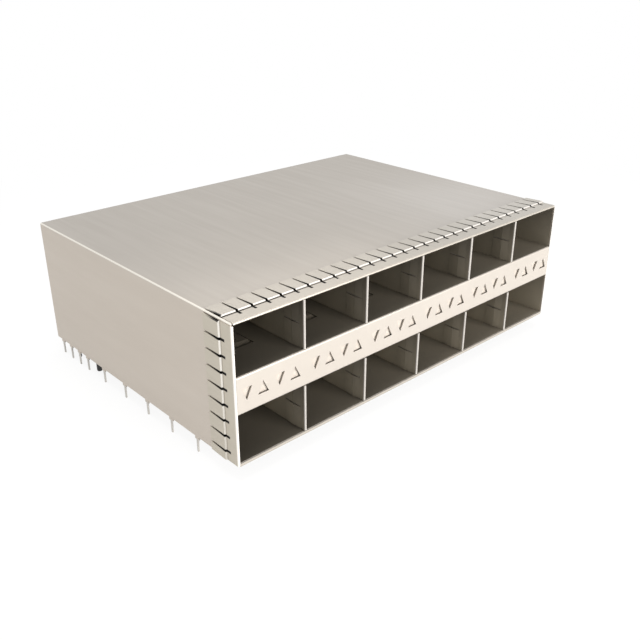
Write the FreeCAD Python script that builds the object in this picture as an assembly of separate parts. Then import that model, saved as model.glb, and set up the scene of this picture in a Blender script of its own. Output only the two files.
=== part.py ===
import FreeCAD, Part
import math
import os

# Stacked cage for small pluggable transceivers: two rows of ports, one above the other, in a folded
# sheet-metal box that presses into a circuit board.
#
# Frame, in millimetres: X runs along the front, Y runs into the cage from its front plane, and Z is up.
# Z = 0 is the top of the board, and the origin is the middle of the front edge on the board.

# The grid of ports
COLUMNS = 6
PORT_PITCH = 14.25  # centre to centre of the dividers
PORT_HEIGHT = 8.9  # clear height of one port
BAND_HEIGHT = 6.65  # wall between the lower and the upper port
CAGE_DEPTH = 63.4

# Sheet metal
SHEET = 0.25
BEND = 0.3  # outside radius of a fold
SHARP_INSIDE = 0.06  # inside radii up to this are left sharp
FIT = 0.05  # clearance between sheets that meet
WALL_LIFT = 0.55  # lower edge of the walls above the board
FLOOR_LIFT = 0.75  # underside of the base plate above the board

# Folded edges of the cover and the base plate
REAR_FLANGE = 2.0
REAR_LIP = 1.5
CORNER_RELIEF = 0.4
HEM_LENGTH = 4.0
HEM_HEIGHT = 0.6
WELD_TAB_LENGTH = 12.0
WELD_TAB_HEIGHT = 1.5
WELD_TAB_GAP = 2.0  # to the front of the housings
FLANGE_LENGTH = 14.0
FLANGE_WIDTH = 3.0
FLANGE_REAR_GAP = 2.9  # to the rear plate

# Press-fit pins
PIN_LENGTH = 2.5  # below the top of the board
PIN_WIDTH = 0.44
PIN_TIP_WIDTH = 0.34
SHOULDER_WIDTH = 1.15
FIRST_PIN = 11.7  # from the front plane
WALL_PINS = 5  # in the front row of a side wall
REAR_PINS_IN_ROW = 4
REAR_PIN_PITCH = 3.5
LAST_PIN_MARGIN = 2.5  # from the back of the cage
ROW_GAP = 6.7  # between the two rows of pins of a wall
REAR_PLATE_PIN_OFFSET = 3.5  # each side of a column's middle
DIVIDER_PINS = 3  # spread over the length of the front row

# Spring-finger gaskets round the front opening
FOIL = 0.1
NOSE_RADIUS = 0.3
GASKET_BAND = 2.85
FINGER_RISE = 0.26
FINGER_RAMP = 0.2
FINGER_TIP_GAP = 0.11
GASKET_DEPTH = 7.1
SLIT_WIDTH = 0.36
SLIT_START = 1.95
FINGER_PITCH = 2.865
FIRST_FINGER = 2.95
LAST_FINGER_MIN = 1.0
GASKET_END_GAP = 0.1

# Contact springs clipped over the front edges of the dividers
CLIP_FOIL = 0.08
CLIP_NOSE_SLOPE = 0.12
CLIP_DEPTH = 5.0
CLIP_END_GAP = 0.1
CLIP_BAND = 1.2
CLIP_CREST = 2.8
CLIP_RISE = 0.2
CLIP_TIP_GAP = 0.03
CLIP_FINGERS = 2
CLIP_SLIT = 0.3

# Separator channels: arrow windows, latch tongues and side tabs
WINDOWS = 4
WINDOW_WIDTH = 2.15
WINDOW_HEIGHT = 2.2
CHANNEL_SIDE_GAP = 0.05
CHANNEL_REAR_GAP = 0.1
TONGUE_WIDTH = 5.2
TONGUE_SLOT = 0.16
TONGUE_START = 8.0
TONGUE_ROOT = 17.5
TONGUE_KNEE = 9.4
TONGUE_TIP_LIFT = 0.3
LATCH_BASE = 2.6
LATCH_FRONT = 10.4
LATCH_LENGTH = 2.4
TAB_START = 20.0
TAB_LENGTH = 2.5

# Tabs of the dividers through the rear plate
DIVIDER_TAB_HEIGHT = 2.4
DIVIDER_TAB_LEVELS = (0.25, 0.75)  # shares of the divider's height

# Stacked receptacle connectors
HOUSING_GAP = 0.725  # from the side of a housing to the middle of the divider beside it
HOUSING_LENGTH = 13.4
HOUSING_REAR_GAP = 5.5  # to the rear plate
HOUSING_LIFT = 0.25
HOUSING_HEIGHT = 22.3
HOUSING_SLOPE = 3.0
CARD_OFFSET = 6.225  # card slot from the middle of the band, up or down
NOSE_LENGTH = 4.5
NOSE_INSET = 0.7  # from the side of the housing
NOSE_HEIGHT = 4.0
NOSE_CHAMFER = 0.4
CARD_SLOT_WIDTH = 9.4
CARD_SLOT_HEIGHT = 2.2
CARD_SLOT_DEPTH = 4.2
POST_SIDES = 8
POST_RADIUS = 0.55
POST_INSET = 0.6
POST_SETBACK = 4.2  # from the front of the housing
POST_LENGTH = 2.2  # below the top of the board
PEG_RADIUS = 0.3
PEG_INSET = 0.4
PEG_SETBACK = 1.4  # from the rear of the housing
PEG_LENGTH = 2.0

# Contacts of a connector
CONTACTS_IN_ROW = 10
CONTACT_PITCH = 0.8
CONTACT_WIDTH = 0.35
CONTACT_THICK = 0.2
CONTACT_LENGTH = 3.4
CONTACT_ROOT_GAP = 0.15  # from the wall of the card slot
CONTACT_LEAN = 0.35
TAIL_WIDTH = 0.3
TAIL_LENGTH = 2.0  # below the top of the board
TAIL_ROWS = 2
TAIL_SETBACK = 7.0  # first row, from the front of the housing
TAIL_ROW_PITCH = 2.7

# Light pipes
ARM_WIDTH = 2.3
ARM_HEIGHT = 2.3
ARM_SIDE_WALL = 0.3  # from the outer arms to the sides of the housing
ARM_LOW_GAP = 0.26  # underside of an arm above the lowest point of its window
ARM_FACE_GAP = 0.16
ARM_FOOT_LIFT = 0.9
ARM_REAR_GAP = 2.0  # from the housing to the upright part
TIE_HEIGHT = 1.2
TIE_LIFT = 8.0

# Windows of the base plate round the connectors and the light pipes
BASE_WINDOW_GAP = 0.1
BASE_WINDOW_END = 0.3

# Levels and places that follow from the sizes above
HALF_WIDTH = COLUMNS * PORT_PITCH / 2
INNER_HALF = HALF_WIDTH - SHEET
FLOOR = FLOOR_LIFT + SHEET
BAND_LOW = FLOOR + PORT_HEIGHT
BAND_HIGH = BAND_LOW + BAND_HEIGHT
BAND_MIDDLE = (BAND_LOW + BAND_HIGH) / 2
CEILING = BAND_HIGH + PORT_HEIGHT
ROOF = CEILING + SHEET
SHEET_FRONT = NOSE_RADIUS  # front edges of the sheets, behind the noses of the gaskets
REAR_PLATE_BACK = CAGE_DEPTH - SHEET
REAR_PLATE_FRONT = REAR_PLATE_BACK - SHEET
HEM_UNDERSIDE = FLOOR - HEM_HEIGHT
HOUSING_WIDTH = PORT_PITCH - 2 * HOUSING_GAP
HOUSING_REAR = REAR_PLATE_FRONT - HOUSING_REAR_GAP
HOUSING_FRONT = HOUSING_REAR - HOUSING_LENGTH
WINDOW_PITCH = (HOUSING_WIDTH - 2 * ARM_SIDE_WALL - ARM_WIDTH) / (WINDOWS - 1)
WELD_TAB_END = HOUSING_FRONT - WELD_TAB_GAP
WELD_TAB_START = WELD_TAB_END - WELD_TAB_LENGTH
FLANGE_END = REAR_PLATE_FRONT - FLANGE_REAR_GAP
FLANGE_START = FLANGE_END - FLANGE_LENGTH
FIRST_REAR_PIN = CAGE_DEPTH - LAST_PIN_MARGIN - (REAR_PINS_IN_ROW - 1) * REAR_PIN_PITCH
CHANNEL_REAR = HOUSING_FRONT - CHANNEL_REAR_GAP
CHANNEL_HALF = PORT_PITCH / 2 - SHEET / 2 - CHANNEL_SIDE_GAP
ARM_LOW = BAND_MIDDLE - WINDOW_HEIGHT / 2 + ARM_LOW_GAP
ARM_HIGH = ARM_LOW + ARM_HEIGHT
ARM_FRONT = SHEET + ARM_FACE_GAP
UPRIGHT_FRONT = HOUSING_REAR + ARM_REAR_GAP
UPRIGHT_REAR = UPRIGHT_FRONT + ARM_HEIGHT


def box(x0, x1, y0, y1, z0, z1):
    return Part.makeBox(x1 - x0, y1 - y0, z1 - z0, FreeCAD.Vector(x0, y0, z0))


def fuse(shapes):
    joined = shapes[0].multiFuse(shapes[1:]) if len(shapes) > 1 else shapes[0]
    return joined.removeSplitter()


def at(plane, u, v):
    """A point of the XZ, YZ or XY plane."""
    points = {"xz": (u, 0, v), "yz": (0, u, v), "xy": (u, v, 0)}
    return FreeCAD.Vector(*points[plane])


def extruded(plane, edges, start, end):
    """The solid between two places on the plane's own axis, from its closed outline of edges."""
    directions = {"xz": (0, 1, 0), "yz": (1, 0, 0), "xy": (0, 0, 1)}
    axis = FreeCAD.Vector(*directions[plane])
    solid = Part.Face(Part.Wire(edges)).extrude(axis * (end - start))
    solid.translate(axis * start)
    return solid


def polygon(plane, points, start, end):
    closed = [at(plane, u, v) for u, v in points + points[:1]]
    edges = [Part.makeLine(a, b) for a, b in zip(closed, closed[1:])]
    return extruded(plane, edges, start, end)


def unit(a, b):
    length = math.hypot(b[0] - a[0], b[1] - a[1])
    return ((b[0] - a[0]) / length, (b[1] - a[1]) / length)


def rounded_path(plane, points, radii):
    """Edges along an open path, with a radius for each of its corners. Radius 0 leaves a corner sharp."""
    edges = []
    last = at(plane, *points[0])
    for before, corner, after, radius in zip(points, points[1:], points[2:], radii):
        back = unit(corner, before)
        ahead = unit(corner, after)
        half_turn = (math.pi - math.acos(back[0] * ahead[0] + back[1] * ahead[1])) / 2
        reach = radius * math.tan(half_turn)
        inward = unit((0, 0), (back[0] + ahead[0], back[1] + ahead[1]))
        drop = radius / math.cos(half_turn) - radius
        start = at(plane, corner[0] + back[0] * reach, corner[1] + back[1] * reach)
        middle = at(plane, corner[0] + inward[0] * drop, corner[1] + inward[1] * drop)
        end = at(plane, corner[0] + ahead[0] * reach, corner[1] + ahead[1] * reach)
        edges += line(last, start)
        if radius > 0:
            edges.append(Part.Arc(start, middle, end).toShape())
        last = end
    return edges + line(last, at(plane, *points[-1]))


def line(start, end):
    return [Part.makeLine(start, end)] if start.distanceToPoint(end) > 1e-6 else []


def inner_path(points, thickness):
    """The path moved to its left by a thickness, and for each corner whether it turns left."""
    moved = []
    turns_left = []
    directions = [unit(a, b) for a, b in zip(points, points[1:])]
    for i, point in enumerate(points):
        before = directions[max(i - 1, 0)]
        after = directions[min(i, len(directions) - 1)]
        share = 1 + before[0] * after[0] + before[1] * after[1]
        left = (-before[1] - after[1], before[0] + after[0])
        moved.append((point[0] + left[0] * thickness / share, point[1] + left[1] * thickness / share))
        turns_left.append(before[0] * after[1] - before[1] * after[0] > 0)
    return moved, turns_left[1:-1]


def folded(plane, points, radii, thickness, start, end):
    """A folded sheet. Points and outside radii are those of one face, and the metal lies on its left."""
    inside, turns_left = inner_path(points, thickness)
    inside_radii = []
    for radius, left in zip(radii, turns_left):
        bent = radius - thickness if left else radius + thickness
        inside_radii.append(bent if radius > 0 and bent > SHARP_INSIDE else 0)
    outer = rounded_path(plane, points, radii)
    inner = rounded_path(plane, inside[::-1], inside_radii[::-1])
    caps = [
        Part.makeLine(at(plane, *points[-1]), at(plane, *inside[-1])),
        Part.makeLine(at(plane, *inside[0]), at(plane, *points[0])),
    ]
    return extruded(plane, outer + [caps[0]] + inner + [caps[1]], start, end)


def column_middle(column):
    return (column + 0.5) * PORT_PITCH - HALF_WIDTH


def divider_middle(number):
    return (number + 1) * PORT_PITCH - HALF_WIDTH


def front_pin_places(count):
    """Places spread evenly from the first pin to the one before the gap of a wall's two rows."""
    pitch = (FIRST_REAR_PIN - ROW_GAP - FIRST_PIN) / (count - 1)
    return [FIRST_PIN + i * pitch for i in range(count)]


def wall_pin_places():
    rear_row = [FIRST_REAR_PIN + i * REAR_PIN_PITCH for i in range(REAR_PINS_IN_ROW)]
    return front_pin_places(WALL_PINS) + rear_row


def pin(plane, place, root, start, end):
    """A press-fit pin in the plane of its sheet. Its shoulder stands on the board."""
    half = [
        (SHOULDER_WIDTH / 2, root),
        (SHOULDER_WIDTH / 2, 0),
        (PIN_WIDTH / 2, 0),
        (PIN_TIP_WIDTH / 2, -PIN_LENGTH),
    ]
    right = [(place + u, v) for u, v in half]
    left = [(place - u, v) for u, v in half[::-1]]
    return polygon(plane, right + left, start, end)


def cage_cover():
    """Roof, both side walls and the rear flanges, folded from one sheet."""
    rear = CAGE_DEPTH
    outside = round_folds(box(-HALF_WIDTH, HALF_WIDTH, SHEET_FRONT, rear, WALL_LIFT, ROOF))
    inside = box(-INNER_HALF, INNER_HALF, SHEET_FRONT, REAR_PLATE_BACK, WALL_LIFT, CEILING)
    shell = outside.cut(inside)
    flange_edge = HALF_WIDTH - REAR_FLANGE
    lip_end = flange_edge - CORNER_RELIEF
    lip_edge = ROOF - REAR_LIP
    flange_top = ROOF - BEND - CORNER_RELIEF
    past_rear = rear + SHEET
    cuts = [box(-flange_edge, flange_edge, REAR_PLATE_BACK, past_rear, WALL_LIFT, lip_edge)]
    for side in (-1, 1):
        slit = sorted((side * lip_end, side * flange_edge))
        corner = sorted((side * lip_end, side * HALF_WIDTH))
        cuts.append(box(*slit, REAR_PLATE_BACK, past_rear, WALL_LIFT, flange_top))
        cuts.append(box(*corner, rear - BEND, past_rear, flange_top, ROOF))
    pieces = [shell.cut(cuts)]
    for place in wall_pin_places():
        pieces.append(pin("yz", place, WALL_LIFT, -HALF_WIDTH, -INNER_HALF))
        pieces.append(pin("yz", place, WALL_LIFT, INNER_HALF, HALF_WIDTH))
    return fuse(pieces)


def round_folds(block):
    """Rounds the edges where the roof, the side walls and the rear wall meet."""
    bounds = block.BoundBox
    folds = []
    for edge in block.Edges:
        middle = edge.BoundBox.Center
        at_roof = abs(middle.z - bounds.ZMax) < 1e-6
        at_rear = abs(middle.y - bounds.YMax) < 1e-6
        at_side = min(abs(middle.x - bounds.XMin), abs(middle.x - bounds.XMax)) < 1e-6
        if [at_roof, at_rear, at_side].count(True) == 2:
            folds.append(edge)
    return block.makeFillet(BEND, folds)


def base_plate():
    """The floor of the lower ports: hemmed in front, with windows for the connectors."""
    edge = INNER_HALF - FIT
    rear = REAR_PLATE_FRONT - FIT
    front = FOIL
    path = [(rear, FLOOR), (front, FLOOR), (front, HEM_UNDERSIDE), (front + HEM_LENGTH, HEM_UNDERSIDE)]
    fold = HEM_HEIGHT / 2
    plate = folded("yz", path, [fold, fold], SHEET, -edge, edge)
    tab_top = FLOOR_LIFT + WELD_TAB_HEIGHT
    tab = [(edge - 2 * BEND, FLOOR_LIFT), (edge, FLOOR_LIFT), (edge, tab_top)]
    right_tab = folded("xz", tab, [BEND], SHEET, WELD_TAB_START, WELD_TAB_END)
    left_tab = right_tab.mirror(FreeCAD.Vector(), FreeCAD.Vector(1, 0, 0))
    cuts = []
    for side in (-1, 1):
        corner = sorted((side * (edge - BEND), side * edge))
        cuts.append(box(*corner, WELD_TAB_START, WELD_TAB_END, FLOOR_LIFT, FLOOR))
    for column in range(COLUMNS):
        middle = column_middle(column)
        half = HOUSING_WIDTH / 2 + BASE_WINDOW_GAP
        window_rear = UPRIGHT_REAR + BASE_WINDOW_END
        window_front = HOUSING_FRONT - BASE_WINDOW_GAP
        cuts.append(box(middle - half, middle + half, window_front, window_rear, FLOOR_LIFT, FLOOR))
    for number in range(COLUMNS - 1):
        middle = divider_middle(number)
        half = SHEET / 2 + FIT
        for place in front_pin_places(DIVIDER_PINS):
            reach = SHOULDER_WIDTH / 2 + FIT
            cuts.append(box(middle - half, middle + half, place - reach, place + reach, FLOOR_LIFT, FLOOR))
    return fuse([plate.cut(cuts), left_tab, right_tab])


def divider_tab_middles():
    return [FLOOR + share * (CEILING - FLOOR) for share in DIVIDER_TAB_LEVELS]


def rear_plate():
    """The back wall, behind the connectors and inside the cover's flanges."""
    edge = INNER_HALF - FIT
    plate = box(-edge, edge, REAR_PLATE_FRONT, REAR_PLATE_BACK, WALL_LIFT, CEILING - FIT)
    slots = []
    for number in range(COLUMNS - 1):
        middle = divider_middle(number)
        half = SHEET / 2 + FIT
        for level in divider_tab_middles():
            low = level - DIVIDER_TAB_HEIGHT / 2 - FIT
            high = level + DIVIDER_TAB_HEIGHT / 2 + FIT
            slots.append(box(middle - half, middle + half, REAR_PLATE_FRONT, REAR_PLATE_BACK, low, high))
    pieces = [plate.cut(slots)]
    for column in range(COLUMNS):
        for offset in (-REAR_PLATE_PIN_OFFSET, REAR_PLATE_PIN_OFFSET):
            place = column_middle(column) + offset
            pieces.append(pin("xz", place, WALL_LIFT, REAR_PLATE_FRONT, REAR_PLATE_BACK))
    return fuse(pieces)


def divider(number):
    """The wall between two columns, with a flange welded under the roof."""
    middle = divider_middle(number)
    left = middle - SHEET / 2
    right = middle + SHEET / 2
    rear = REAR_PLATE_FRONT - FIT
    wall = box(left, right, SHEET_FRONT, rear, FLOOR, CEILING)
    tab_end = TAB_START + TAB_LENGTH
    slots = []
    for plate_low in (BAND_LOW, BAND_HIGH - SHEET):
        plate_high = plate_low + SHEET
        slots.append(box(left, right, TAB_START - FIT, tab_end + FIT, plate_low - FIT, plate_high + FIT))
    flange_room = box(left, right, FLANGE_START - FIT, FLANGE_END + FIT, CEILING - 2 * BEND, CEILING)
    fold = [(left + FLANGE_WIDTH, CEILING), (left, CEILING), (left, CEILING - 2 * BEND)]
    pieces = [
        wall.cut(slots + [flange_room]),
        folded("xz", fold, [BEND], SHEET, FLANGE_START, FLANGE_END),
    ]
    for level in divider_tab_middles():
        reach = DIVIDER_TAB_HEIGHT / 2
        pieces.append(box(left, right, rear, CAGE_DEPTH, level - reach, level + reach))
    for place in front_pin_places(DIVIDER_PINS):
        pieces.append(pin("yz", place, FLOOR, left, right))
    return fuse(pieces)


def arrow_window(middle, points_down):
    half = WINDOW_WIDTH / 2
    rise = WINDOW_HEIGHT / 2 if points_down else -WINDOW_HEIGHT / 2
    corners = [
        (middle - half, BAND_MIDDLE + rise),
        (middle + half, BAND_MIDDLE + rise),
        (middle, BAND_MIDDLE - rise),
    ]
    return polygon("xz", corners, 0, SHEET)


def window_middles(column):
    first = column_middle(column) - (WINDOWS - 1) * WINDOW_PITCH / 2
    return [first + i * WINDOW_PITCH for i in range(WINDOWS)]


def latch_tongue(middle):
    """The tongue of the lower plate, with the arrow hole that catches a module's latch."""
    tip = (TONGUE_START, BAND_LOW + TONGUE_TIP_LIFT)
    path = [tip, (TONGUE_KNEE, BAND_LOW), (TONGUE_ROOT, BAND_LOW)]
    half = TONGUE_WIDTH / 2
    tongue = folded("yz", path, [0], SHEET, middle - half, middle + half)
    hole = [
        (middle - LATCH_BASE / 2, LATCH_FRONT),
        (middle + LATCH_BASE / 2, LATCH_FRONT),
        (middle, LATCH_FRONT + LATCH_LENGTH),
    ]
    return tongue.cut(polygon("xy", hole, BAND_LOW, BAND_LOW + SHEET))


def separator(column):
    """The channel between a lower and an upper port: front wall with arrow windows, and two plates."""
    middle = column_middle(column)
    left = max(middle - PORT_PITCH / 2, FIT - INNER_HALF)
    right = min(middle + PORT_PITCH / 2, INNER_HALF - FIT)
    path = [(CHANNEL_REAR, BAND_HIGH), (0, BAND_HIGH), (0, BAND_LOW), (CHANNEL_REAR, BAND_LOW)]
    channel = folded("yz", path, [BEND, BEND], SHEET, left, right)
    low = middle - CHANNEL_HALF
    high = middle + CHANNEL_HALF
    if column == 0:
        low = left
    if column == COLUMNS - 1:
        high = right
    cuts = [arrow_window(x, i % 2 == 0) for i, x in enumerate(window_middles(column))]
    if low > left:
        cuts.append(box(left, low, SHEET, CHANNEL_REAR, BAND_LOW, BAND_HIGH))
    if high < right:
        cuts.append(box(high, right, SHEET, CHANNEL_REAR, BAND_LOW, BAND_HIGH))
    half_slot = TONGUE_WIDTH / 2 + TONGUE_SLOT
    slot_front = TONGUE_START - TONGUE_SLOT
    for plate_low in (BAND_LOW, BAND_HIGH - SHEET):
        cuts.append(
            box(middle - half_slot, middle + half_slot, slot_front, TONGUE_ROOT, plate_low, plate_low + SHEET)
        )
    lower_tongue = latch_tongue(middle)
    upper_tongue = lower_tongue.mirror(FreeCAD.Vector(0, 0, BAND_MIDDLE), FreeCAD.Vector(0, 0, 1))
    pieces = [channel.cut(cuts), lower_tongue, upper_tongue]
    reach = PORT_PITCH / 2 + SHEET / 2
    tab_end = TAB_START + TAB_LENGTH
    if column > 0:
        pieces.append(box(middle - reach, low, TAB_START, tab_end, BAND_LOW, BAND_LOW + SHEET))
    if column < COLUMNS - 1:
        pieces.append(box(high, middle + reach, TAB_START, tab_end, BAND_HIGH - SHEET, BAND_HIGH))
    return fuse(pieces)


def gasket_strip(length, edge_depth):
    """A strip of spring fingers lying along +X on a sheet whose outer face is Z = 0.

    Its nose wraps the sheet's front edge down to -edge_depth. The fingers rise behind the flat band
    and slope back to the sheet."""
    crest = GASKET_BAND + FINGER_RAMP
    path = [
        (GASKET_DEPTH, FINGER_TIP_GAP + FOIL),
        (crest, FINGER_RISE + FOIL),
        (GASKET_BAND, FOIL),
        (0, FOIL),
        (0, -edge_depth),
    ]
    strip = folded("yz", path, [0, 0, NOSE_RADIUS], FOIL, 0, length)
    slits = []
    place = FIRST_FINGER
    while place < length - LAST_FINGER_MIN:
        half = SLIT_WIDTH / 2
        slits.append(box(place - half, place + half, SLIT_START, GASKET_DEPTH, 0, FINGER_RISE + 2 * FOIL))
        place += FINGER_PITCH
    return strip.cut(slits)


def gasket_top():
    end = HALF_WIDTH - BEND
    strip = gasket_strip(2 * end, SHEET)
    strip.translate(FreeCAD.Vector(-end, 0, ROOF))
    return strip


def gasket_bottom():
    end = HALF_WIDTH - BEND
    strip = gasket_strip(2 * end, HEM_HEIGHT).mirror(FreeCAD.Vector(), FreeCAD.Vector(0, 0, 1))
    strip.translate(FreeCAD.Vector(-end, 0, HEM_UNDERSIDE))
    return strip


def gasket_right():
    """Its first finger is the upper one, beside the roof."""
    top = ROOF - BEND - GASKET_END_GAP
    strip = gasket_strip(top - WALL_LIFT, SHEET)
    strip.rotate(FreeCAD.Vector(), FreeCAD.Vector(0, 1, 0), 90)
    strip.translate(FreeCAD.Vector(HALF_WIDTH, 0, top))
    return strip


def gasket_left():
    return gasket_right().mirror(FreeCAD.Vector(), FreeCAD.Vector(1, 0, 0))


def divider_clip(middle, low, high):
    """A foil clip over a divider's front edge, with fingers that bear on the modules at both sides."""
    nose = SHEET / 2 + CLIP_FOIL
    leg = [
        (nose + CLIP_TIP_GAP, CLIP_DEPTH),
        (nose + CLIP_RISE, CLIP_CREST),
        (nose, CLIP_BAND),
        (nose, CLIP_NOSE_SLOPE),
        (nose - CLIP_NOSE_SLOPE, 0),
    ]
    path = [(middle - u, v) for u, v in leg] + [(middle + u, v) for u, v in leg[::-1]]
    clip = folded("xy", path, [0 for corner in path[1:-1]], CLIP_FOIL, low, high)
    finger = (high - low + CLIP_SLIT) / CLIP_FINGERS
    reach = nose + CLIP_RISE + CLIP_FOIL
    slits = []
    for i in range(1, CLIP_FINGERS):
        place = low - CLIP_SLIT + i * finger
        slits.append(box(middle - reach, middle + reach, CLIP_BAND, CLIP_DEPTH, place, place + CLIP_SLIT))
    return clip.cut(slits)


def divider_spring(number):
    middle = divider_middle(number)
    ports = [(FLOOR, BAND_LOW), (BAND_HIGH, CEILING)]
    clips = [divider_clip(middle, low + CLIP_END_GAP, high - CLIP_END_GAP) for low, high in ports]
    return Part.makeCompound(clips)


def post(x, y, radius, length):
    """A many-sided locating post under the housing."""
    turns = [(i + 0.5) * 2 * math.pi / POST_SIDES for i in range(POST_SIDES)]
    corners = [(x + radius * math.cos(turn), y + radius * math.sin(turn)) for turn in turns]
    return polygon("xy", corners, -length, HOUSING_LIFT)


def card_levels():
    return (BAND_MIDDLE - CARD_OFFSET, BAND_MIDDLE + CARD_OFFSET)


def connector(column):
    """The housing of a stacked receptacle: a body on the board and a nose with a card slot per port."""
    middle = column_middle(column)
    half = HOUSING_WIDTH / 2
    top = HOUSING_LIFT + HOUSING_HEIGHT
    side = [
        (HOUSING_FRONT, HOUSING_LIFT),
        (HOUSING_REAR, HOUSING_LIFT),
        (HOUSING_REAR, top - HOUSING_SLOPE),
        (HOUSING_REAR - HOUSING_SLOPE, top),
        (HOUSING_FRONT, top),
    ]
    pieces = [polygon("yz", side, middle - half, middle + half)]
    nose_front = HOUSING_FRONT - NOSE_LENGTH
    cuts = []
    for level in card_levels():
        low = level - NOSE_HEIGHT / 2
        high = level + NOSE_HEIGHT / 2
        nose_half = half - NOSE_INSET
        nose = box(middle - nose_half, middle + nose_half, nose_front, HOUSING_FRONT, low, high)
        rim = [edge for edge in nose.Edges if edge.BoundBox.YMax < nose_front + 1e-6]
        pieces.append(nose.makeChamfer(NOSE_CHAMFER, rim))
        slot_half = CARD_SLOT_WIDTH / 2
        slot_rear = nose_front + CARD_SLOT_DEPTH
        slot_low = level - CARD_SLOT_HEIGHT / 2
        slot_high = level + CARD_SLOT_HEIGHT / 2
        cuts.append(box(middle - slot_half, middle + slot_half, nose_front, slot_rear, slot_low, slot_high))
    for x in window_middles(column):
        reach = ARM_WIDTH / 2 + FIT
        cuts.append(box(x - reach, x + reach, HOUSING_FRONT, HOUSING_REAR, ARM_LOW - FIT, ARM_HIGH + FIT))
    for direction in (-1, 1):
        post_x = middle + direction * (half - POST_INSET)
        peg_x = middle + direction * (half - PEG_INSET)
        pieces.append(post(post_x, HOUSING_FRONT + POST_SETBACK, POST_RADIUS, POST_LENGTH))
        pieces.append(post(peg_x, HOUSING_REAR - PEG_SETBACK, PEG_RADIUS, PEG_LENGTH))
    return fuse(pieces).cut(cuts)


def contacts(column):
    """The metal that shows on a connector: beams in the card slots and tails into the board."""
    middle = column_middle(column)
    places = [middle + (i - (CONTACTS_IN_ROW - 1) / 2) * CONTACT_PITCH for i in range(CONTACTS_IN_ROW)]
    root = HOUSING_FRONT - NOSE_LENGTH + CARD_SLOT_DEPTH
    tip = root - CONTACT_LENGTH
    solids = []
    for x in places:
        left = x - CONTACT_WIDTH / 2
        for level in card_levels():
            low = level - CARD_SLOT_HEIGHT / 2 + CONTACT_ROOT_GAP
            tip_low = low + CONTACT_LEAN
            beam = [(root, low), (root, low + CONTACT_THICK), (tip, tip_low + CONTACT_THICK), (tip, tip_low)]
            solids.append(polygon("yz", beam, left, left + CONTACT_WIDTH))
        for row in range(TAIL_ROWS):
            y = HOUSING_FRONT + TAIL_SETBACK + row * TAIL_ROW_PITCH
            half = TAIL_WIDTH / 2
            solids.append(box(x - half, x + half, y - half, y + half, -TAIL_LENGTH, HOUSING_LIFT))
    return Part.makeCompound(solids)


def light_pipe(column):
    """Four clear arms from the board behind the housing to the arrow windows, joined by a tie bar."""
    # the sloping face at the corner turns the light
    side = [
        (ARM_FRONT, ARM_LOW),
        (UPRIGHT_FRONT, ARM_LOW),
        (UPRIGHT_FRONT, ARM_FOOT_LIFT),
        (UPRIGHT_REAR, ARM_FOOT_LIFT),
        (UPRIGHT_REAR, ARM_LOW),
        (UPRIGHT_FRONT, ARM_HIGH),
        (ARM_FRONT, ARM_HIGH),
    ]
    half = ARM_WIDTH / 2
    middles = window_middles(column)
    arms = [polygon("yz", side, x - half, x + half) for x in middles]
    tie = box(
        middles[0] - half, middles[-1] + half, UPRIGHT_FRONT, UPRIGHT_REAR, TIE_LIFT, TIE_LIFT + TIE_HEIGHT
    )
    return fuse(arms + [tie])


def export(name, shape):
    """Writes a sub-part, after a look at what the file will hold."""
    if not shape.isValid() or not shape.Solids:
        raise ValueError(name + " has no valid solid")
    shape.exportStep("parts/" + name + ".step")
    print(name, len(shape.Solids), "solids,", round(shape.Volume, 2), "mm3")


def main():
    os.makedirs("parts", exist_ok=True)
    export("cage_cover", cage_cover())
    export("base_plate", base_plate())
    export("rear_plate", rear_plate())
    export("emi_gasket_top", gasket_top())
    export("emi_gasket_bottom", gasket_bottom())
    export("emi_gasket_left", gasket_left())
    export("emi_gasket_right", gasket_right())
    for number in range(COLUMNS - 1):
        export("divider_%d" % (number + 1), divider(number))
        export("divider_spring_%d" % (number + 1), divider_spring(number))
    for column in range(COLUMNS):
        export("separator_%d" % (column + 1), separator(column))
        export("light_pipe_%d" % (column + 1), light_pipe(column))
        export("connector_%d" % (column + 1), connector(column))
        export("contacts_%d" % (column + 1), contacts(column))


main()
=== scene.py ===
import math

import bpy
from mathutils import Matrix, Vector


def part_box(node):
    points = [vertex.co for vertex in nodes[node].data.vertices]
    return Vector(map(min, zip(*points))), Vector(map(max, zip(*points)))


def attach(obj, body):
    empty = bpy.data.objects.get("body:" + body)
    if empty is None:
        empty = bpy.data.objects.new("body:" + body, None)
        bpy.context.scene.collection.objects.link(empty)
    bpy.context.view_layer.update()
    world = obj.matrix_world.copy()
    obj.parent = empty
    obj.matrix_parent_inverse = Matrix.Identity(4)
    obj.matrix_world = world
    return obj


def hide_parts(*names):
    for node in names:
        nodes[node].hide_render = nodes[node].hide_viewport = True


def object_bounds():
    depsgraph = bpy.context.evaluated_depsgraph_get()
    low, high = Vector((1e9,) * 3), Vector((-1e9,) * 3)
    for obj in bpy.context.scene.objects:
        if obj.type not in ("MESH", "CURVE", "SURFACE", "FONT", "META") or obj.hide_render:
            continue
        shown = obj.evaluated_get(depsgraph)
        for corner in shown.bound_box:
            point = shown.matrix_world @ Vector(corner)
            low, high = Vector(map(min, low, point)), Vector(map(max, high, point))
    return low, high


mm = 0.001
far = 1.0  # past everything, for zones that are open to one side
hair = 0.01 * mm  # slack of the tests that pick edges
squarely = 0.9  # a picked face has at least this share of its normal along the axis
bumpDistance = 0.02 * mm
softAngle = math.radians(30)  # smooth shading rounds edges below this angle
sharpAngle = math.radians(60)  # small bevels go on edges above this one

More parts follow.
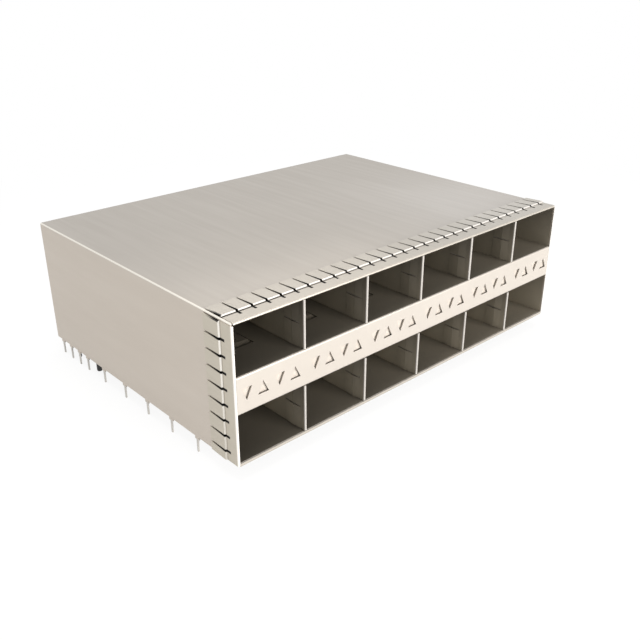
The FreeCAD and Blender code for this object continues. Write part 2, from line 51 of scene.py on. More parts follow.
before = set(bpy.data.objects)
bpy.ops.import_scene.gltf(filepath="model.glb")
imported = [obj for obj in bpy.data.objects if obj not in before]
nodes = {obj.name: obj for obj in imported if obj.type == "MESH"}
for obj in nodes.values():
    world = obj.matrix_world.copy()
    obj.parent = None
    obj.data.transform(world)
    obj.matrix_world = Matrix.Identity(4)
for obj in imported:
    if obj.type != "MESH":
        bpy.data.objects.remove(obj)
cadLow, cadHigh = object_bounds()
print("frame loaded:", len(nodes), "nodes")

columnCount = sum(1 for name in nodes if name.startswith("connector_"))
coverLow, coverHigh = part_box("cage_cover")
plateLow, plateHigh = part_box("base_plate")
channelLow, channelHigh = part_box("separator_1")
bandMiddle = (channelLow.z + channelHigh.z) / 2
topStripLow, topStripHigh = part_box("emi_gasket_top")
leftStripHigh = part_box("emi_gasket_left")[1]
housingLow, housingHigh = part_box("connector_1")
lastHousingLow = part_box("connector_%d" % columnCount)[0]
portPitch = (lastHousingLow.x - housingLow.x) / (columnCount - 1)


def newFinish(name):
    finish = bpy.data.materials.new(name)
    finish.use_nodes = True
    tree = finish.node_tree
    return finish, tree, tree.nodes["Principled BSDF"]


def addNode(tree, kind, **values):
    node = tree.nodes.new(kind)
    for key, value in values.items():
        setattr(node, key, value)
    return node


def mathNode(tree, operation, first, second=None, clamp=False):
    node = addNode(tree, "ShaderNodeMath", operation=operation, use_clamp=clamp)
    for socket, value in zip(node.inputs, (first, second)):
        if value is None:
            continue
        if isinstance(value, (int, float)):
            socket.default_value = value
        else:
            tree.links.new(value, socket)
    return node.outputs[0]


def product(tree, *factors):
    result = factors[0]
    for factor in factors[1:]:
        result = mathNode(tree, "MULTIPLY", result, factor)
    return result


def mixColour(tree, factor, first, second):
    node = addNode(tree, "ShaderNodeMix", data_type="RGBA")
    for socket, value in ((node.inputs[0], factor), (node.inputs[6], first), (node.inputs[7], second)):
        if isinstance(value, (int, float)):
            socket.default_value = value
        elif isinstance(value, (tuple, list)):
            socket.default_value = (*value, 1)
        else:
            tree.links.new(value, socket)
    return node.outputs[2]


def objectPlace(tree, scale=(1, 1, 1)):
    place = addNode(tree, "ShaderNodeTexCoord")
    mapping = addNode(tree, "ShaderNodeMapping")
    mapping.inputs["Scale"].default_value = scale
    tree.links.new(place.outputs["Object"], mapping.inputs["Vector"])
    return mapping.outputs["Vector"]


def axesOf(tree):
    split = addNode(tree, "ShaderNodeSeparateXYZ")
    tree.links.new(objectPlace(tree), split.inputs[0])
    return tuple(split.outputs)


def noiseOf(tree, place, scale, detail=3, roughness=0.55):
    noise = addNode(tree, "ShaderNodeTexNoise")
    noise.inputs["Scale"].default_value = scale
    noise.inputs["Detail"].default_value = detail
    noise.inputs["Roughness"].default_value = roughness
    tree.links.new(place, noise.inputs["Vector"])
    return noise.outputs["Fac"]


def spread(tree, value, low, high, start=0.3, end=0.7, smooth=False):
    # runs from low to high while the value runs from start to end
    node = addNode(tree, "ShaderNodeMapRange")
    if smooth:
        node.interpolation_type = "SMOOTHSTEP"
    node.inputs["From Min"].default_value = start
    node.inputs["From Max"].default_value = end
    node.inputs["To Min"].default_value = low
    node.inputs["To Max"].default_value = high
    tree.links.new(value, node.inputs["Value"])
    return node.outputs["Result"]


def bumpOf(tree, height, strength):
    bump = addNode(tree, "ShaderNodeBump")
    bump.inputs["Strength"].default_value = strength
    bump.inputs["Distance"].default_value = bumpDistance
    tree.links.new(height, bump.inputs["Height"])
    return bump.outputs["Normal"]


def inZone(tree, zone):
    # 1 inside the zone's ranges of side distance, depth and height, 0 outside; it can fade at its far end,
    # ramp up along an axis, or have only a share of its strength
    axes = axesOf(tree)
    side = mathNode(tree, "ABSOLUTE", axes[0])
    limits = []
    for key, value in (("side", side), ("depth", axes[1]), ("height", axes[2])):
        if key in zone:
            low, high = zone[key]
            limits.append(mathNode(tree, "GREATER_THAN", value, low))
            limits.append(mathNode(tree, "LESS_THAN", value, high))
    mask = product(tree, *limits)
    if "fade" in zone:
        end = zone["depth"][1]
        mask = product(tree, mask, spread(tree, axes[1], 1, 0, end - zone["fade"], end, True))
    if "ramp" in zone:
        axis, start, end = zone["ramp"]
        mask = product(tree, mask, spread(tree, axes[axis], 0, 1, start, end))
    if "share" in zone:
        mask = product(tree, mask, zone["share"])
    return mask


# painted shade: inside the folded sheets the metal gets only the light that comes in through the ports, so
# there the sheets are painted dark, rougher and not metallic
paintedPortShade = {
    "side": (-far, coverHigh.x - 0.15 * mm),
    "depth": (0.32 * mm, coverHigh.y - 0.35 * mm),
    "height": (plateLow.z + 0.5 * mm, coverHigh.z - 0.1 * mm),
    "rough": 0.62,
    "tint": (1, 0.885, 0.68),
    "rise": channelHigh.z - plateHigh.z,  # from the floor of a lower port to that of the upper one
    "tall": (plateHigh.z, channelLow.z),
}
# how bright the painted shade leaves the sheets in there: at the front and deep inside, each for the left
# and the right end of the cage; then factors from the floor to the top of a port, across a port, and for
# the two rows
floorShades = {
    "front": (0.026, 0.063),
    "deep": (0.036, 0.101),
    "depth": (1 * mm, 9 * mm),
    "tall": (1, 1),
    "wide": (0.93, 1.45),
    "rows": (1.86, 1.7),
}
wallShades = {
    "front": (0.052, 0.09),
    "deep": (0.122, 0.125),
    "depth": (0.5 * mm, 9 * mm),
    "tall": (2.25, 1.2),
    "wide": (1, 1),
    "rows": (1.3, 1.05),
}
clipShades = dict(wallShades, deep=(0.093, 0.102), depth=(2.7 * mm, 3.1 * mm))
# what lies in shade under the spring fingers
fingerShade = {
    "depth": (1.9 * mm, topStripHigh.y - 0.03 * mm),
    "fade": 3.2 * mm,
    "colour": (0.006, 0.006, 0.005),
}
shadeUnder = {
    "topStrip": {"side": (-far, topStripHigh.x), "height": (coverHigh.z - 0.1 * mm, far)},
    "sideStrips": {"side": (coverHigh.x - 0.1 * mm, far), "height": (0, leftStripHigh.z)},
    "bottomStrip": {"side": (-far, topStripHigh.x), "height": (-far, plateLow.z + 0.4 * mm)},
}
underStripZones = [dict(fingerShade, **place) for place in shadeUnder.values()]
pinZone = {"height": (-far, 0.1 * mm), "colour": (0.546, 0.527, 0.496)}
foldHighlightZone = {  # painted highlight on the rolled edges between the roof and the side walls
    "side": (coverHigh.x - 0.22 * mm, far),
    "height": (coverHigh.z - 0.22 * mm, far),
    "colour": (0.74, 0.715, 0.655),
}
# painted shade: the windows' cut walls are painted darker than the band, as the shade in these recesses
windowCutShadeZone = {
    "depth": (0.012 * mm, 0.24 * mm),
    "height": (bandMiddle - 1.25 * mm, bandMiddle + 1.25 * mm),
    "colour": (0.322, 0.294, 0.26),
}
windowSillShadowZone = {  # painted shadow in the flat lower cut of a window, or at the lower point of one that points down
    "depth": windowCutShadeZone["depth"],
    "height": (bandMiddle - 1.16 * mm, bandMiddle - 0.96 * mm),
    "colour": (0.087, 0.074, 0.062),
}
# painted light: the outer side walls are painted lighter and warmer than the roof of the same sheet, for
# the light they get
litSideWallZone = {"side": (coverHigh.x - 0.26 * mm, far), "colour": (0.64, 0.567, 0.49), "share": 0.5}
# painted highlight along the front edge of the divider clips
noseHighlightZone = {"depth": (-far, 0.2 * mm), "colour": (0.508, 0.484, 0.453)}
clipBackLightZone = {  # painted light: the divider behind the clip, seen only through the clip's slit, is painted lighter than its shade
    "depth": (1.2 * mm, 4.9 * mm),
    "colour": (0.186, 0.167, 0.143),
}
# painted shade along the foot of the top strip's risers, fading towards the right end
riserFootShadeZone = {
    "depth": (2.6 * mm, 2.9 * mm),
    "ramp": (0, coverHigh.x * 1.3, coverLow.x),
    "colour": (0.037, 0.033, 0.029),
}
# painted highlight on the top strip's risers
riserHighlightZone = {"depth": (2.91 * mm, 3.06 * mm), "colour": (0.601, 0.583, 0.558)}
# painted shade along the foot of the side strips' risers
sideRiserFootShadeZone = {"depth": (2.72 * mm, 2.86 * mm), "colour": (0.34, 0.31, 0.27)}
# painted highlight on the side strips' risers, growing towards the top
sideRiserHighlightZone = {
    "depth": (2.88 * mm, 3.07 * mm),
    "ramp": (2, -12 * mm, 20 * mm),
    "colour": (0.78, 0.755, 0.71),
}
# painted highlight along the front edge of the side strips
sideNoseHighlightZone = {"depth": (-far, 0.26 * mm), "colour": (0.76, 0.735, 0.695)}
tailZone = {"height": (-far, 0), "colour": (0.384, 0.372, 0.353)}  # the tails of the contacts are tinned
# painted shade beside the slits between the spring fingers and at a strip's end, for the shadow under the
# raised fingers
slitShade = {
    "first": 2.95 * mm,  # from the strip's end
    "pitch": 2.865 * mm,
    "half": 0.18 * mm,
    "edge": 0.065 * mm,  # painted shade beside a slit
    "depth": (1.87 * mm, 5.4 * mm),
    "fade": 2.2 * mm,
    "endShade": 0.2 * mm,  # painted shade at the end of the strip
    "endDepth": (3.0 * mm, 6.4 * mm),
    "colour": (0.031, 0.028, 0.025),
}


def fadingBack(tree, depth, start, end):
    behind = mathNode(tree, "GREATER_THAN", depth, start)
    return product(tree, behind, spread(tree, depth, 1, 0, end - slitShade["fade"], end))


def shadeBesideSlits(tree, strip):
    # painted shade beside the slits between the fingers, for the shadow under them; the strips run along X
    # on the top, and down from their upper end at the sides
    x, depth, height = axesOf(tree)
    if strip == "side":
        along = mathNode(tree, "SUBTRACT", leftStripHigh.z - slitShade["first"], height)
    else:
        along = mathNode(tree, "SUBTRACT", x, topStripLow.x + slitShade["first"])
    fromSlit = mathNode(tree, "PINGPONG", along, slitShade["pitch"] / 2)
    near = mathNode(tree, "LESS_THAN", fromSlit, slitShade["half"] + slitShade["edge"])
    inRow = mathNode(tree, "GREATER_THAN", along, -slitShade["pitch"] / 2)
    atEnd = mathNode(tree, "LESS_THAN", along, slitShade["endShade"] - slitShade["first"])
    cuts = product(tree, near, inRow, fadingBack(tree, depth, *slitShade["depth"]))
    ends = product(tree, atEnd, fadingBack(tree, depth, *slitShade["endDepth"]))
    return mathNode(tree, "MAXIMUM", cuts, ends)


def roomShade(tree, shades):
    # the painted shade of the room: its tint, dimmed by place
    x, depth, height = axesOf(tree)
    across = spread(tree, x, 0, 1, coverLow.x, coverHigh.x)
    front = spread(tree, across, *shades["front"], 0, 1)
    deep = spread(tree, across, *shades["deep"], 0, 1)
    share = spread(tree, depth, 0, 1, *shades["depth"])
    shade = mathNode(tree, "ADD", front, product(tree, share, mathNode(tree, "SUBTRACT", deep, front)))
    upper = mathNode(tree, "GREATER_THAN", height, bandMiddle)
    inPort = mathNode(tree, "SUBTRACT", height, product(tree, upper, paintedPortShade["rise"]))
    fromEnd = mathNode(tree, "SUBTRACT", x, coverLow.x)
    inColumn = mathNode(tree, "FRACT", mathNode(tree, "DIVIDE", fromEnd, portPitch))
    shade = product(
        tree,
        shade,
        spread(tree, inPort, *shades["tall"], *paintedPortShade["tall"]),
        spread(tree, inColumn, *shades["wide"], 0, 1),
        spread(tree, upper, *shades["rows"], 0, 1),
    )
    return mixColour(tree, shade, (0, 0, 0), paintedPortShade["tint"])


def painted(tree, shade, zones):
    for zone in zones:
        shade = mixColour(tree, inZone(tree, zone), shade, zone["colour"])
    return shade


def metalFinish(name, look, zones, shades=wallShades, strip=None, lastZones=()):
    finish, tree, shader = newFinish(name)
    grain = noiseOf(tree, objectPlace(tree, look["grainStretch"]), *look["grainNoise"])
    cloud = noiseOf(tree, objectPlace(tree), *look["cloudNoise"])
    shade = mixColour(tree, spread(tree, cloud, 0, 1), look["colour"], look["cloudColour"])
    shade = mixColour(tree, spread(tree, grain, 0, look["grainShade"]), shade, look["grainColour"])
    shade = painted(tree, shade, zones)
    # painted shade beside the slits of a spring strip
    if strip:
        shade = mixColour(tree, shadeBesideSlits(tree, strip), shade, slitShade["colour"])
    # painted shade inside the ports, where the sheets are also rougher and not metallic
    mask = inZone(tree, paintedPortShade)
    shade = mixColour(tree, mask, shade, roomShade(tree, shades))
    tree.links.new(painted(tree, shade, lastZones), shader.inputs["Base Color"])
    rough = spread(tree, grain, *look["roughness"])
    rough = mathNode(tree, "MAXIMUM", rough, product(tree, mask, paintedPortShade["rough"]))
    tree.links.new(rough, shader.inputs["Roughness"])
    metal = mathNode(tree, "SUBTRACT", look["metal"], product(tree, mask, look["metal"]))
    tree.links.new(metal, shader.inputs["Metallic"])
    tree.links.new(bumpOf(tree, grain, look["bump"]), shader.inputs["Normal"])
    return finish


def plainFinish(name, look, zones=()):
    # two colours that a fine noise mixes
    finish, tree, shader = newFinish(name)
    noise = noiseOf(tree, objectPlace(tree), *look["noise"])
    shade = mixColour(tree, spread(tree, noise, 0, 1), *look["colours"])
    tree.links.new(painted(tree, shade, zones), shader.inputs["Base Color"])
    tree.links.new(spread(tree, noise, *look["roughness"]), shader.inputs["Roughness"])
    if "bump" in look:
        tree.links.new(bumpOf(tree, noise, look["bump"]), shader.inputs["Normal"])
    for key, socket in (("metal", "Metallic"), ("ior", "IOR")):
        if key in look:
            shader.inputs[socket].default_value = look[key]
    return finish


def tinted(look, tint):
    # the same look with each colour taken times the tint
    changed = dict(look)
    for key in ("colour", "cloudColour", "grainColour"):
        changed[key] = tuple(share * part for share, part in zip(tint, look[key]))
    return changed


# each noise has a scale, a detail and, if not the usual one, a roughness
sheetLook = {
    "colour": (0.409, 0.384, 0.347),
    "cloudColour": (0.428, 0.402, 0.364),
    "cloudNoise": (40, 2),
    "grainColour": (0.372, 0.347, 0.316),
    "grainShade": 0.25,
    "grainNoise": (900, 4),
    "grainStretch": (1, 0.05, 0.4),
    "roughness": (0.41, 0.49),
    "metal": 0.6,
    "bump": 0.12,
}
foilLook = dict(
    sheetLook,
    cloudNoise=(120, 2),
    grainShade=0.2,
    grainNoise=(1400, 4),
    grainStretch=(1, 0.06, 1),
    roughness=(0.38, 0.46),
    bump=0.1,
)
housingLook = {
    "colours": ((0.012, 0.012, 0.012), (0.02, 0.02, 0.021)),
    "noise": (2600, 5, 0.65),
    "roughness": (0.52, 0.68),
    "bump": 0.25,
}
contactLook = {
    "colours": ((0.533, 0.409, 0.186), (0.459, 0.341, 0.155)),
    "noise": (1800, 3),
    "roughness": (0.28, 0.4),
    "metal": 1,
}
lightPipeLook = {
    "colours": ((0.43, 0.393, 0.35), (0.412, 0.376, 0.333)),
    "noise": (500, 2),
    "roughness": (0.5, 0.6),
    "ior": 1.58,
}
# painted light: lighter and darker copies of one sheet and one foil; the channel's band and the side
# strips are painted lighter, the cover and the top strip a little darker, for how strongly each is lit
coverLook = tinted(sheetLook, (0.92, 0.91, 0.91))
channelLook = tinted(sheetLook, (1.12, 1.115, 1.115))
topFoilLook = tinted(foilLook, (0.965, 0.96, 0.94))
sideFoilLook = tinted(foilLook, (1.16, 1.14, 1.06))

coverZones = [litSideWallZone] + underStripZones + [pinZone, foldHighlightZone]
sideStripZones = [sideNoseHighlightZone, sideRiserFootShadeZone, sideRiserHighlightZone]
finishes = {
    "sheet": metalFinish("rolledSheet", coverLook, coverZones),
    "plate": metalFinish("floorSheet", sheetLook, underStripZones + [pinZone], floorShades),
    "channel": metalFinish("channelSheet", channelLook, [windowCutShadeZone, windowSillShadowZone], floorShades),
    "divider": metalFinish("dividerSheet", sheetLook, [pinZone], lastZones=[clipBackLightZone]),
    "foil": metalFinish("springFoil", topFoilLook, [riserFootShadeZone, riserHighlightZone], strip="top"),
    "sideFoil": metalFinish("sideSpringFoil", sideFoilLook, sideStripZones, strip="side"),
    "clip": metalFinish("clipFoil", foilLook, [noseHighlightZone], clipShades),
    "housing": plainFinish("blackHousing", housingLook),
    "contact": plainFinish("goldContact", contactLook, [tailZone]),
    "lightPipe": plainFinish("clearLightPipe", lightPipeLook),
}
finishOfNode = (
    ("cage_cover", "sheet"),
    ("base_plate", "plate"),
    ("rear_plate", "sheet"),
    ("divider_spring", "clip"),
    ("divider", "divider"),
    ("separator", "channel"),
    ("emi_gasket_left", "sideFoil"),
    ("emi_gasket_right", "sideFoil"),
    ("emi_gasket", "foil"),
    ("light_pipe", "lightPipe"),
    ("connector", "housing"),
    ("contacts", "contact"),
)
for name, node in nodes.items():
    kind = next(kind for start, kind in finishOfNode if name.startswith(start))
    for slot in node.material_slots:
        slot.material = finishes[kind]
print("finishes given to", len(nodes), "nodes")


def deselectAll():
    bpy.ops.object.select_all(action="DESELECT")


def pickPiece(piece):
    deselectAll()
    piece.select_set(True)
    bpy.context.view_layer.objects.active = piece


def settle(piece):
    pickPiece(piece)
    bpy.ops.object.transform_apply(location=True, rotation=True, scale=True)


def addBlock(name, low, high):
    deselectAll()
    low, high = Vector(low), Vector(high)
    bpy.ops.mesh.primitive_cube_add(size=1, location=(low + high) / 2, scale=high - low)
    block = bpy.context.object
    block.name = name
    settle(block)
    return block


def leaveEdit():
    bpy.ops.object.mode_set(mode="OBJECT")


def dropPicks(piece, kind):
    # leaves edit mode again, because the tests pick in the mesh data
    pickPiece(piece)
    bpy.ops.object.mode_set(mode="EDIT")
    bpy.ops.mesh.select_mode(type=kind)
    bpy.ops.mesh.select_all(action="DESELECT")
    leaveEdit()


def pickEdges(piece, test):
    dropPicks(piece, "EDGE")
    corners = piece.data.vertices
    for edge in piece.data.edges:
        first, second = (corners[index].co for index in edge.vertices)
        edge.select = test((first + second) / 2)
    bpy.ops.object.mode_set(mode="EDIT")


def pickFaces(piece, test):
    dropPicks(piece, "FACE")
    for face in piece.data.polygons:
        face.select = test(face.center, face.normal)
    bpy.ops.object.mode_set(mode="EDIT")


def facesFront(place, normal):
    return normal.y < -squarely


def bevelPicked(offset, segments):
    bpy.ops.mesh.bevel(offset=offset, offset_type="OFFSET", segments=segments, affect="EDGES")
    leaveEdit()


def pushFace(move, size=(1, 1, 1)):
    # extrudes the picked face by a step, then scales it about its middle
    bpy.ops.mesh.extrude_region_move(TRANSFORM_OT_translate={"value": move})
    bpy.ops.transform.resize(value=size)


def applyModifier(piece, modifier):
    pickPiece(piece)
    bpy.ops.object.modifier_apply(modifier=modifier.name)


def repeat(piece, count, step):
    row = piece.modifiers.new("row", "ARRAY")
    row.count = count
    row.use_relative_offset = False
    row.use_constant_offset = True
    row.constant_offset_displace = (step, 0, 0)
    applyModifier(piece, row)


def combine(piece, tool, operation):
    change = piece.modifiers.new("combine", "BOOLEAN")
    change.operation = operation
    change.solver = "EXACT"
    change.object = tool
    applyModifier(piece, change)
    bpy.data.objects.remove(tool)


def softEdges(piece, width):
    bevel = piece.modifiers.new("softEdges", "BEVEL")
    bevel.width = width
    bevel.segments = 1
    bevel.limit_method = "ANGLE"
    bevel.angle_limit = sharpAngle
    applyModifier(piece, bevel)


def joinInto(piece, others):
    pickPiece(piece)
    for other in others:
        other.select_set(True)
    bpy.ops.object.join()


def copyOf(piece):
    pickPiece(piece)
    bpy.ops.object.duplicate()
    return bpy.context.object


housing = {
    "middle": (housingLow.x + housingHigh.x) / 2,
    "half": (housingHigh.x - housingLow.x) / 2,
    "front": housingLow.y + 4.5 * mm,  # the noses stand this far in front of the body
    "rear": housingHigh.y,
    "low": 0.25 * mm,
    "high": housingHigh.z,
    "slope": 3.0 * mm,
    "edge": 0.18 * mm,
    "noseInset": 0.7 * mm,
    "noseHalf": 2.0 * mm,
    "noseEdge": 0.4 * mm,
    "cardOffset": 6.225 * mm,
    "slotHalf": 4.7 * mm,
    "slotHeight": 2.2 * mm,
    "slotDepth": 4.2 * mm,
    "slotLead": 0.25 * mm,
    "mouthReach": 0.4 * mm,
    "mouthWiden": 1.06,
    "grooveFront": 0.5 * mm,
    "grooveInset": 0.2 * mm,
    "grooveWidth": 0.5 * mm,
    "grooveDepth": 0.35 * mm,
    "armHalf": 1.2 * mm,
    "armSlack": 0.05 * mm,
    "past": 1 * mm,  # noses and arm cutters reach this far past the body's faces
    "posts": ((5.8, 4.2, 0.55, 2.2), (6.0, 12.0, 0.3, 2.0)),  # side, setback, radius, length in mm
    "postSides": 32,
    "postRoot": 0.3 * mm,
    "postEdge": 0.45,  # of the radius
}
contact = {
    "count": 10,
    "pitch": 0.8 * mm,
    "width": 0.35 * mm,
    "thick": 0.16 * mm,
    "length": 3.4 * mm,
    "root": 0.4 * mm,
    "rootGap": 0.12 * mm,
    "lean": 0.42 * mm,
    "tip": 0.5 * mm,
    "edge": 0.03 * mm,
    # steps of a beam: forward as a share of its reach, and towards the card as a share of its lean
    "curve": ((0.3, 0.12), (0.3, 0.3), (0.25, 0.36), (0.15, 0.22)),
    # steps of its tip: forward and towards the card as shares of its length, and how much it narrows
    "tipCurve": ((0.35, 0.05, 1), (0.3, -0.2, 0.9), (0.35, -0.5, 0.75)),
    "tailRows": (5.65, 7.0, 8.35, 9.7),  # behind the body's front, mm
    "tailWidth": 0.3 * mm,
    "tailFlat": 0.8,  # depth over width
    "tailDrop": 0.2 * mm,
    "tailEdge": 0.025 * mm,
    # steps of a tail: down in mm, and its width there as a share; a neck, a wide eye and a narrow tip
    "tailShape": ((0.15, 0.75), (0.25, 1.7), (0.35, 1.7), (0.3, 0.6), (0.45, 0.6), (0.3, 0.3)),
}
contact["first"] = housing["middle"] - (contact["count"] - 1) * contact["pitch"] / 2
pipeLow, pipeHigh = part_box("light_pipe_1")
pipeArms = {"count": 4, "half": 1.15 * mm, "height": 2.3 * mm, "slope": 0.97}
pipeArms["first"] = pipeLow.x + pipeArms["half"]
pipeArms["step"] = (pipeHigh.x - pipeLow.x - 2 * pipeArms["half"]) / (pipeArms["count"] - 1)
pipeArms["uprightFront"] = pipeHigh.y - 2 * pipeArms["half"]
pipeHead = {  # the wider end of an arm, behind its window
    "length": 1.1 * mm,
    "neck": 0.5 * mm,
    "side": 0.36 * mm,
    "drop": 0.46 * mm,
    "edge": 0.08 * mm,
}
pipeTie = {"low": 8 * mm, "high": 9.2 * mm, "inset": 0.2 * mm}
cardLevels = (bandMiddle - housing["cardOffset"], bandMiddle + housing["cardOffset"])


def addNose(level):
    half = housing["half"] - housing["noseInset"]
    low = (housing["middle"] - half, housingLow.y, level - housing["noseHalf"])
    high = (housing["middle"] + half, housing["front"] + housing["past"], level + housing["noseHalf"])
    nose = addBlock("nose", low, high)
    pickEdges(nose, lambda place: place.y < housingLow.y + hair)
    bevelPicked(housing["noseEdge"], 3)
    return nose


def cardSlotCutter(level):
    half, rise = housing["slotHalf"], housing["slotHeight"] / 2
    low = (housing["middle"] - half, housingLow.y, level - rise)
    high = (housing["middle"] + half, housingLow.y + housing["slotDepth"], level + rise)
    cutter = addBlock("cardSlot", low, high)
    pickFaces(cutter, facesFront)
    taller = 1 + 4 * housing["slotLead"] / housing["slotHeight"]
    pushFace((0, -housing["mouthReach"], 0), (housing["mouthWiden"], 1, taller))
    leaveEdit()
    return cutter


def grooveCutter(level, side):
    # the grooves that the beams of one row lie in
    edge = level + side * housing["slotHeight"] / 2
    ends = sorted((edge - side * housing["grooveInset"], edge + side * housing["grooveDepth"]))
    half = housing["grooveWidth"] / 2
    low = (contact["first"] - half, housingLow.y + housing["grooveFront"], ends[0])
    high = (contact["first"] + half, housingLow.y + housing["slotDepth"], ends[1])
    cutter = addBlock("groove", low, high)
    repeat(cutter, contact["count"], contact["pitch"])
    return cutter


def armCutter():
    half, slack, past = housing["armHalf"], housing["armSlack"], housing["past"]
    low = (pipeArms["first"] - half, housing["front"] - past, pipeHigh.z - pipeArms["height"] - slack)
    high = (pipeArms["first"] + half, housing["rear"] + past, pipeHigh.z + slack)
    cutter = addBlock("armRoom", low, high)
    repeat(cutter, pipeArms["count"], pipeArms["step"])
    return cutter


def addPost(x, setback, radius, length):
    deselectAll()
    top = housing["low"] + housing["postRoot"]
    place = (housing["middle"] + x * mm, housing["front"] + setback * mm, (top - length * mm) / 2)
    bpy.ops.mesh.primitive_cylinder_add(
        vertices=housing["postSides"], radius=radius * mm, depth=top + length * mm, location=place
    )
    post = bpy.context.object
    settle(post)
    pickEdges(post, lambda place: place.z < -length * mm + hair)
    bevelPicked(radius * mm * housing["postEdge"], 3)
    return post


def buildHousing():
    low = (housing["middle"] - housing["half"], housing["front"], housing["low"])
    high = (housing["middle"] + housing["half"], housing["rear"], housing["high"])
    body = addBlock("housing", low, high)
    pickEdges(body, lambda place: place.y > high[1] - hair and place.z > high[2] - hair)
    bevelPicked(housing["slope"], 1)
    pickEdges(body, lambda place: True)
    bevelPicked(housing["edge"], 2)
    for level in cardLevels:
        combine(body, addNose(level), "UNION")
    for side in (-1, 1):
        for x, setback, radius, length in housing["posts"]:
            combine(body, addPost(side * x, setback, radius, length), "UNION")
    for level in cardLevels:
        combine(body, cardSlotCutter(level), "DIFFERENCE")
        for side in (-1, 1):
            combine(body, grooveCutter(level, side), "DIFFERENCE")
    combine(body, armCutter(), "DIFFERENCE")
    pickPiece(body)
    bpy.ops.object.shade_smooth_by_angle(angle=softAngle)
    return body


def beamRow(level, side):
    # spring beams whose curved tips reach for the module's card; side -1 is the lower row
    half, root, tip = contact["width"] / 2, contact["root"], contact["tip"]
    rear = housingLow.y + housing["slotDepth"]
    edge = level + side * (housing["slotHeight"] / 2 - contact["rootGap"] - contact["thick"] / 2)
    low = (contact["first"] - half, rear - root, edge - contact["thick"] / 2)
    high = (contact["first"] + half, rear, edge + contact["thick"] / 2)
    beam = addBlock("beam", low, high)
    pickFaces(beam, facesFront)
    reach = contact["length"] - root - tip
    for share, rise in contact["curve"]:
        pushFace((0, -share * reach, -side * rise * contact["lean"]))
    for share, rise, narrow in contact["tipCurve"]:
        pushFace((0, -share * tip, -side * rise * tip), (narrow, 1, 1))
    leaveEdit()
    softEdges(beam, contact["edge"])
    repeat(beam, contact["count"], contact["pitch"])
    return beam


def tailRow(setback):
    y = housing["front"] + setback * mm
    half = contact["tailWidth"] / 2
    flat = half * contact["tailFlat"]
    low = (contact["first"] - half, y - flat, -contact["tailDrop"])
    high = (contact["first"] + half, y + flat, housing["low"])
    tail = addBlock("tail", low, high)
    pickFaces(tail, lambda place, normal: normal.z < -squarely)
    width = 1
    for down, nextWidth in contact["tailShape"]:
        pushFace((0, 0, -down * mm), (nextWidth / width, 1, 1))
        width = nextWidth
    leaveEdit()
    softEdges(tail, contact["tailEdge"])
    repeat(tail, contact["count"], contact["pitch"])
    return tail


def buildContacts():
    rows = [beamRow(level, side) for level in cardLevels for side in (-1, 1)]
    rows += [tailRow(setback) for setback in contact["tailRows"]]
    joinInto(rows[0], rows[1:])
    rows[0].name = "contactSet"
    return rows[0]


def buildArm():
    # an upright with a sloping back at its top, a long arm forward, and the head that fills its window
    half, height, middle = pipeArms["half"], pipeArms["height"], pipeArms["first"]
    neck, length, front = pipeHead["neck"], pipeHead["length"], pipeArms["uprightFront"]
    low = pipeHigh.z - height
    arm = addBlock("arm", (middle - half, front, pipeLow.z), (middle + half, pipeHigh.y, low))
    pickFaces(arm, lambda place, normal: normal.z > squarely)
    pushFace((0, 0, height))
    leaveEdit()
    pickEdges(arm, lambda place: place.y > pipeHigh.y - hair and place.z > pipeHigh.z - hair)
    bevelPicked(pipeArms["slope"] * height, 1)
    pickFaces(arm, lambda place, normal: facesFront(place, normal) and place.z > low)
    pushFace((0, pipeLow.y + length + neck - front, 0))
    wider = (half + pipeHead["side"]) / half
    taller = 1 + pipeHead["drop"] / height
    pushFace((0, -neck, -pipeHead["drop"] / 2), (wider, 1, taller))
    pushFace((0, -length, 0))
    leaveEdit()
    softEdges(arm, pipeHead["edge"])
    return arm


def buildPipe():
    pipe = buildArm()
    repeat(pipe, pipeArms["count"], pipeArms["step"])
    inset = pipeTie["inset"]
    low = (pipeLow.x + inset, pipeArms["uprightFront"] + inset, pipeTie["low"])
    high = (pipeHigh.x - inset, pipeHigh.y - inset, pipeTie["high"])
    combine(pipe, addBlock("tie", low, high), "UNION")
    return pipe


def placeRow(first, finish, pieceName, nodeName):
    # one piece for each column, made from the one in the first column
    first.data.materials.clear()
    first.data.materials.append(finishes[finish])
    for column in range(columnCount):
        piece = first if column == columnCount - 1 else copyOf(first)
        piece.name = pieceName % (column + 1)
        piece.location.x += column * portPitch
        settle(piece)
        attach(piece, "root")
        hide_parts(nodeName % (column + 1))


body = buildHousing()
contactSet = buildContacts()
placeRow(body, "housing", "housing_%d", "connector_%d")
placeRow(contactSet, "contact", "beams_%d", "contacts_%d")
print("connectors and contacts placed:", columnCount)

placeRow(buildPipe(), "lightPipe", "clearArms_%d", "light_pipe_%d")
print("light pipes placed:", columnCount)

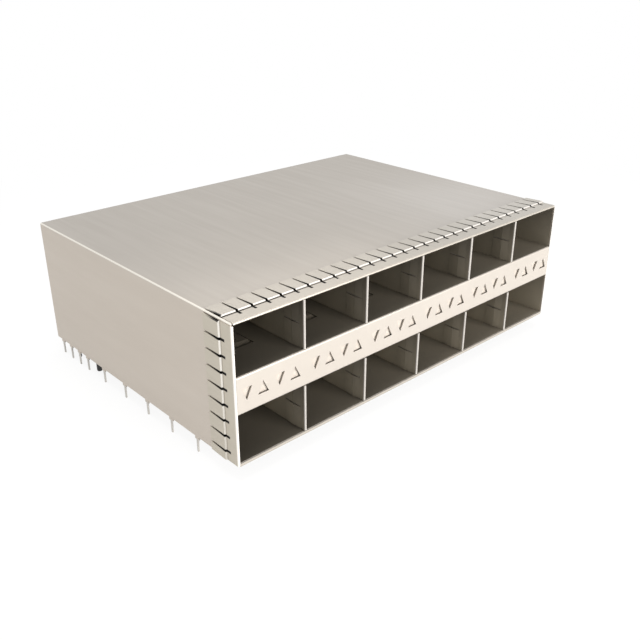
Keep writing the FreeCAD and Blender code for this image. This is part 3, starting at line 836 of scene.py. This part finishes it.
studio = {
    "floorSize": 3.0,
    "floorColour": (0.9, 0.895, 0.885),
    "glowNear": 0.9,
    "nearReach": 0.07,
    "farReach": 0.2,
    "skyColour": (1, 0.98, 0.945),
    "skyStrength": 0.95,
}
middle = (cadLow + cadHigh) / 2
lamps = {
    "frontKey": {
        "place": (0.12, -0.6, 0.1),
        "target": middle,
        "size": (0.4, 0.22),
        "watts": 6.35,
        "colour": (1, 0.955, 0.925),
        "glossy": True,
    },
    "topWide": {
        "place": (0, 0.03, 0.52),
        "target": (0, 0.03, 0.02),
        "size": (0.3, 0.3),
        "watts": 1.39,
        "colour": (0.98, 0.985, 1),
        "glossy": False,
    },
    "topLeft": {
        "place": (-0.03, 0.002, 0.046),
        "target": (-0.03, 0.002, 0.02),
        "size": (0.05, 0.01),
        "watts": 0.0085,
        "colour": (1, 0.95, 0.9),
        "glossy": False,
    },
    "topRight": {
        "place": (0.032, 0.017, 0.046),
        "target": (0.032, 0.017, 0.02),
        "size": (0.02, 0.02),
        "watts": 0.0043,
        "colour": (0.78, 0.86, 1),
        "glossy": False,
    },
}
view = {
    "place": (-101.70 * mm, -82.76 * mm, 74.51 * mm),
    "ahead": (0.6122, 0.6632, -0.4305),
    "lens": 43.55,
    "sensor": 36,
    "near": 0.005,
    "reach": 20,
}


def seenDirectly(tree):
    # 1 for camera, glossy and transmission rays
    rays = addNode(tree, "ShaderNodeLightPath")
    seen = mathNode(tree, "ADD", rays.outputs["Is Camera Ray"], rays.outputs["Is Glossy Ray"], clamp=True)
    return mathNode(tree, "ADD", seen, rays.outputs["Is Transmission Ray"], clamp=True)


def glowNode(tree, kind, colour, strength):
    glow = addNode(tree, kind)
    glow.inputs["Color"].default_value = (*colour, 1)
    glow.inputs["Strength"].default_value = strength
    return glow


def mixedSurface(tree, outKind, share, first, second):
    out = addNode(tree, outKind)
    mix = addNode(tree, "ShaderNodeMixShader")
    tree.links.new(share, mix.inputs[0])
    tree.links.new(first.outputs[0], mix.inputs[1])
    tree.links.new(second.outputs[0], mix.inputs[2])
    tree.links.new(mix.outputs[0], out.inputs["Surface"])


def paleFloor():
    deselectAll()
    bpy.ops.mesh.primitive_plane_add(size=studio["floorSize"], location=(0, 0, cadLow.z))
    floor = bpy.context.object
    floor.name = "floor"
    settle(floor)
    finish = bpy.data.materials.new("paleFloor")
    finish.use_nodes = True
    tree = finish.node_tree
    tree.nodes.clear()
    matte = addNode(tree, "ShaderNodeBsdfDiffuse")
    matte.inputs["Color"].default_value = (*studio["floorColour"], 1)
    glow = glowNode(tree, "ShaderNodeEmission", (1, 1, 1), 1)
    length = addNode(tree, "ShaderNodeVectorMath", operation="LENGTH")
    tree.links.new(objectPlace(tree), length.inputs[0])
    glowShare = spread(
        tree, length.outputs["Value"], studio["glowNear"], 1, studio["nearReach"], studio["farReach"], True
    )
    share = product(tree, seenDirectly(tree), glowShare)
    mixedSurface(tree, "ShaderNodeOutputMaterial", share, matte, glow)
    floor.data.materials.append(finish)


def whiteSky():
    sky = bpy.data.worlds.new("whiteSky")
    sky.use_nodes = True
    bpy.context.scene.world = sky
    tree = sky.node_tree
    tree.nodes.clear()
    light = glowNode(tree, "ShaderNodeBackground", studio["skyColour"], studio["skyStrength"])
    seen = glowNode(tree, "ShaderNodeBackground", (1, 1, 1), 1)
    mixedSurface(tree, "ShaderNodeOutputWorld", seenDirectly(tree), light, seen)


def softLamp(name, setting):
    deselectAll()
    bpy.ops.object.light_add(type="AREA", location=setting["place"])
    lamp = bpy.context.object
    lamp.name = name
    lamp.visible_camera = False
    lamp.visible_glossy = setting["glossy"]
    lamp.data.shape = "RECTANGLE"
    lamp.data.size, lamp.data.size_y = setting["size"]
    lamp.data.energy = setting["watts"]
    lamp.data.color = setting["colour"]
    ahead = Vector(setting["target"]) - Vector(setting["place"])
    lamp.rotation_euler = ahead.to_track_quat("-Z", "Y").to_euler()


def setCamera():
    deselectAll()
    bpy.ops.object.camera_add(location=view["place"])
    camera = bpy.context.object
    camera.data.lens = view["lens"]
    camera.data.sensor_width = view["sensor"]
    camera.data.clip_start = view["near"]
    camera.data.clip_end = view["reach"]
    camera.rotation_euler = Vector(view["ahead"]).to_track_quat("-Z", "Y").to_euler()
    bpy.context.scene.camera = camera


paleFloor()
whiteSky()
for name, setting in lamps.items():
    softLamp(name, setting)
print("floor, sky and lamps set")

setCamera()
bpy.context.scene.view_settings.view_transform = "Standard"
